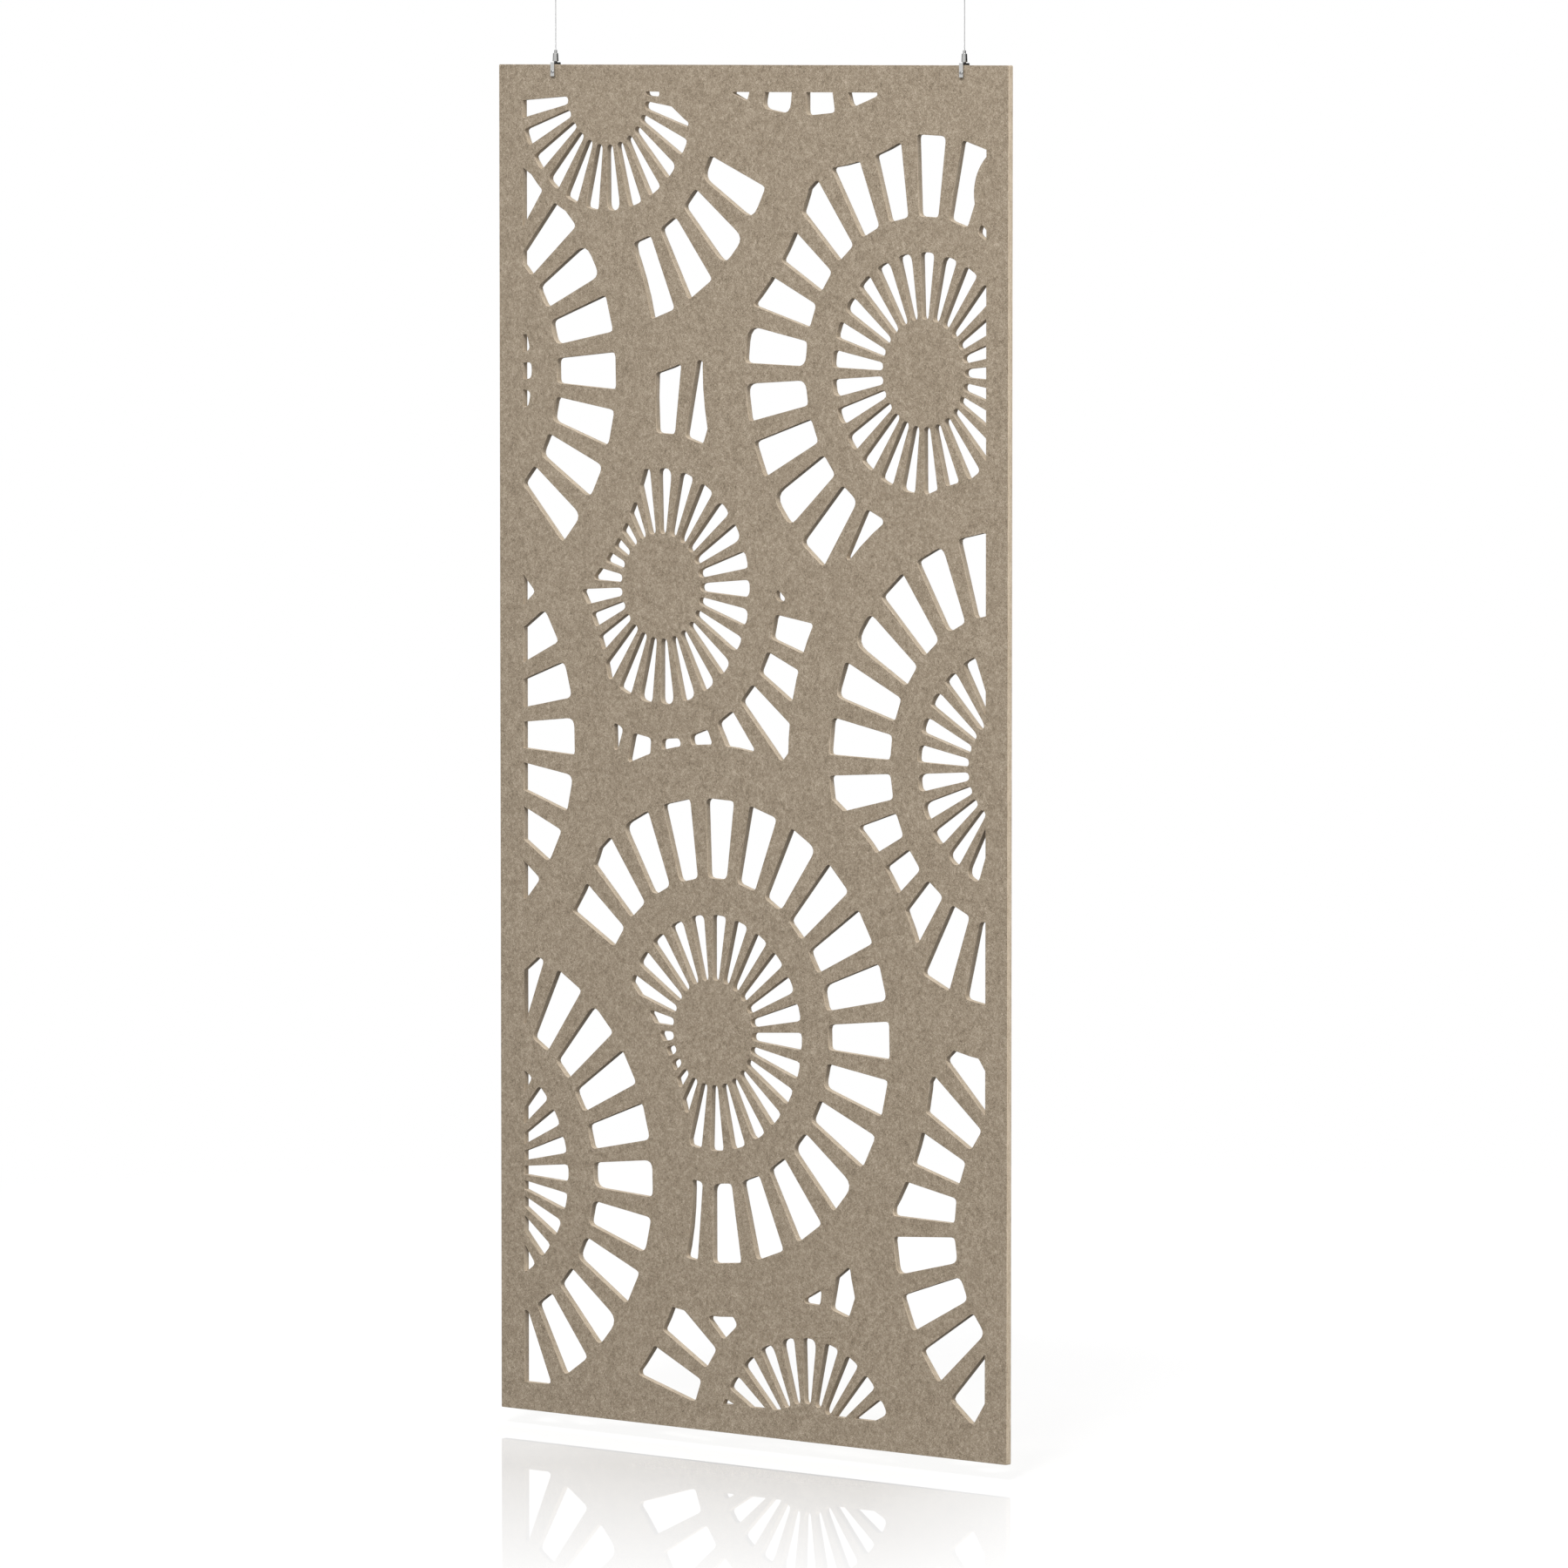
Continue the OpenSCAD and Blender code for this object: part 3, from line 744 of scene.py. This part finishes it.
# Each lamp aims at the board's middle and names the setting that holds its power
LAMPS = {
    "key_lamp": dict(place=(4.6, -10.0, 12.8), width=4.5, power="key_power", in_mirrors=True),
    "fill_lamp": dict(place=(8.3, -9.8, 0.9), width=4.0, power="fill_power", in_mirrors=False),
    "side_lamp": dict(place=(5.0, 0.0, -1.8), width=0.5, power="side_power", in_mirrors=False),
    "back_lamp": dict(place=(-5.0, 8.0, 4.0), width=3.0, power="back_power", in_mirrors=False),
}
DARK_CARDS = {
    "right_card": dict(place=(1.7, 1.2, 0.1), half_width=1.8),
    "left_card": dict(place=(-4.2, 0.0, 0.2), half_width=2.0),
}
CARD_BLACK = (0.01, 0.01, 0.01, 1)
WHITE = (1, 1, 1, 1)
# The sky's share of its strength level with the ground and straight overhead
LOW_SKY, HIGH_SKY = 0.8, 1.5
# The floor is matt grey to the light, and pale or white to the camera
FLOOR_SIDES = 96
FLOOR_MATT = (0.06, 0.06, 0.06, 1)
FLOOR_PALE = (0.90, 0.90, 0.90, 1)
MIRROR_TINT = (1, 0.99, 0.965, 1)
MIRROR_ROUGHNESS = 0.005
# The mirror image is clearest at this X, and the shadow fades between these distances from there
MIRROR_MIDDLE = 0.25
SHADOW_FADE = (1.5, 5.0)
SENSOR_MM = 36
FARTHEST_SEEN = 100


def rays_that_see_white(tree):
    """1 for camera, mirror and glass rays, which see the white backdrop, and 0 for light."""
    rays = add_node(tree, "ShaderNodeLightPath").outputs
    either = calculate(tree, "MAXIMUM", rays["Is Camera Ray"], rays["Is Glossy Ray"])
    return calculate(tree, "MAXIMUM", either, rays["Is Transmission Ray"])


def studio_world(strength, lean):
    """A soft sky, brighter overhead and on the right, as from a large window there."""
    world = bpy.data.worlds.new("Studio")
    world.use_nodes = True
    tree = world.node_tree
    background = tree.nodes["Background"]
    where = add_node(tree, "ShaderNodeTexCoord").outputs["Generated"]
    right, _, height = add_node(tree, "ShaderNodeSeparateXYZ", {0: where}).outputs
    overhead = spread(tree, height, 0.0, 1.0, LOW_SKY * strength, HIGH_SKY * strength)
    sky = calculate(tree, "MULTIPLY", overhead,
                    calculate(tree, "MULTIPLY_ADD", right, lean, 1.0))
    seen = rays_that_see_white(tree)
    unseen = calculate(tree, "SUBTRACT", 1.0, seen)
    level = calculate(tree, "ADD", calculate(tree, "MULTIPLY", sky, unseen), seen)
    background.inputs["Color"].default_value = WHITE
    tree.links.new(level, background.inputs["Strength"])
    bpy.context.scene.world = world


def floor_material(stage, centre):
    """White to the camera, with a mirror image that is clearest at the point centre: it fades out
    to the left, to the right and away from the board, as the reaches say."""
    material, tree, _ = blank_material("studio_floor")
    tree.nodes.clear()
    where = add_node(tree, "ShaderNodeTexCoord").outputs["Object"]
    turned = add_node(tree, "ShaderNodeMapping", {
        "Vector": where, "Location": centre, "Rotation": (0, 0, stage.camera_turn)},
        vector_type="TEXTURE").outputs["Vector"]
    across, along = add_node(tree, "ShaderNodeSeparateXYZ", {0: turned}).outputs[:2]
    left_reach, right_reach, far_reach = stage.mirror_reaches
    sideways = calculate(tree, "MULTIPLY", spread(tree, across, -left_reach, 0.0),
                         spread(tree, across, right_reach, 0.0))
    near = calculate(tree, "MULTIPLY", sideways,
                     spread(tree, calculate(tree, "ABSOLUTE", along), far_reach, 0.0))
    gloss = calculate(tree, "MULTIPLY", near, stage.floor_gloss)
    matt = add_node(tree, "ShaderNodeBsdfDiffuse", {"Color": FLOOR_MATT})
    pale = add_node(tree, "ShaderNodeBsdfDiffuse", {"Color": FLOOR_PALE})
    white = add_node(tree, "ShaderNodeEmission", {"Color": WHITE, "Strength": 1.0})
    # Near the board the pale ground shows its soft shadow; far away nothing but white is left
    distance = add_node(tree, "ShaderNodeVectorMath", {0: turned}, operation="LENGTH")
    shaded = calculate(tree, "MULTIPLY", stage.shadow_depth,
                       spread(tree, distance.outputs["Value"], *SHADOW_FADE, 1.0, 0.0))
    backdrop = add_node(tree, "ShaderNodeMixShader", {
        0: shaded, 1: white.outputs[0], 2: pale.outputs[0]})
    ground = add_node(tree, "ShaderNodeMixShader", {
        0: rays_that_see_white(tree), 1: matt.outputs[0], 2: backdrop.outputs[0]})
    mirror = add_node(tree, "ShaderNodeBsdfGlossy", {
        "Color": MIRROR_TINT, "Roughness": MIRROR_ROUGHNESS})
    camera_only = add_node(tree, "ShaderNodeLightPath").outputs["Is Camera Ray"]
    share = calculate(tree, "MULTIPLY", gloss, camera_only)
    whole = add_node(tree, "ShaderNodeMixShader", {
        0: share, 1: ground.outputs[0], 2: mirror.outputs[0]})
    out = add_node(tree, "ShaderNodeOutputMaterial", {"Surface": whole.outputs[0]})
    out.is_active_output = True
    return material


def round_floor(stage):
    """A round floor under the board, large enough to fill the view below it."""
    height = BOARD_LOW.z - stage.floor_gap
    disc = bmesh.new()
    bmesh.ops.create_circle(disc, cap_ends=True, segments=FLOOR_SIDES, radius=stage.floor_radius)
    mesh = finished_mesh("studio_floor", disc)
    mesh.transform(Matrix.Translation((0, 0, height)))
    mesh.materials.append(floor_material(stage, (MIRROR_MIDDLE, 0.0, height)))
    linked("studio_floor", mesh)


def area_lamp(name, place, width, watts, in_mirrors):
    """A round lamp that aims at the board's middle, and that mirror images show or leave out."""
    lamp = bpy.data.lights.new(name, "AREA")
    lamp.shape = "DISK"
    lamp.size = width
    lamp.energy = watts
    holder = linked(name, lamp)
    holder.location = place
    holder.rotation_euler = (BOARD_MIDDLE - Vector(place)).to_track_quat("-Z", "Y").to_euler()
    holder.visible_glossy = in_mirrors


def dark_card(name, place, half_width):
    """A black card beside or behind the board, turned to the origin, that only mirrors show."""
    sheet = bmesh.new()
    bmesh.ops.create_grid(sheet, x_segments=1, y_segments=1, size=half_width)
    mesh = finished_mesh(name, sheet)
    black, _, shader = blank_material(name)
    shader.inputs["Base Color"].default_value = CARD_BLACK
    mesh.materials.append(black)
    card = linked(name, mesh)
    card.location = place
    card.rotation_euler = Vector(place).to_track_quat("Z", "Y").to_euler()
    for unseen_by in ("camera", "diffuse", "transmission", "shadow"):
        setattr(card, f"visible_{unseen_by}", False)


def photo_camera(stage):
    """The camera that sees the divider as the photograph does."""
    data = bpy.data.cameras.new("camera")
    data.sensor_width = SENSOR_MM
    data.lens = stage.lens
    data.clip_end = FARTHEST_SEEN
    camera = linked("camera", data)
    camera.location = stage.camera_place
    camera.rotation_euler = (math.pi / 2 - stage.camera_pitch, 0, stage.camera_turn)
    bpy.context.scene.camera = camera


class DIVIDER_OT_stage(bpy.types.Operator):
    """Sets the camera, the white floor and the soft studio light"""

    bl_idname = "divider.stage"
    bl_label = "Studio"

    def execute(self, context):
        stage = context.scene.divider_stage
        photo_camera(stage)
        round_floor(stage)
        studio_world(stage.sky_light, stage.sky_lean)
        for name, lamp in LAMPS.items():
            watts = getattr(stage, lamp["power"])
            area_lamp(name, lamp["place"], lamp["width"], watts, lamp["in_mirrors"])
        for name, card in DARK_CARDS.items():
            dark_card(name, **card)
        context.scene.view_settings.view_transform = "Standard"
        return {"FINISHED"}


# ---- Add-on -----------------------------------------------------------------

OPERATORS = (
    DIVIDER_OT_stage, DIVIDER_OT_ropes, DIVIDER_OT_springs, DIVIDER_OT_board,
    DIVIDER_OT_ceiling_fittings, DIVIDER_OT_grippers, DIVIDER_OT_clamps,
)
SETTINGS = {
    "divider_felt": FeltSettings,
    "divider_metal": MetalSettings,
    "divider_wires": WireSettings,
    "divider_stage": StageSettings,
}


class DIVIDER_PT_panel(bpy.types.Panel):
    """Lists the settings and the steps in the sidebar."""

    bl_idname = "DIVIDER_PT_panel"
    bl_label = "Hanging Felt Divider"
    bl_space_type = "VIEW_3D"
    bl_region_type = "UI"
    bl_category = "Divider"

    def draw(self, context):
        for name, group in SETTINGS.items():
            box = self.layout.box()
            settings = getattr(context.scene, name)
            for setting in group.__annotations__:
                box.prop(settings, setting)
        for operator in OPERATORS:
            self.layout.operator(operator.bl_idname)


def register():
    for name, group in SETTINGS.items():
        bpy.utils.register_class(group)
        setattr(bpy.types.Scene, name, bpy.props.PointerProperty(type=group))
    for shown in (*OPERATORS, DIVIDER_PT_panel):
        bpy.utils.register_class(shown)


def unregister():
    for shown in reversed((*OPERATORS, DIVIDER_PT_panel)):
        bpy.utils.unregister_class(shown)
    for name, group in SETTINGS.items():
        delattr(bpy.types.Scene, name)
        bpy.utils.unregister_class(group)


def main():
    register()
    for operator in OPERATORS:
        group, step = operator.bl_idname.split(".")
        getattr(getattr(bpy.ops, group), step)()


if __name__ == "__main__":
    main()
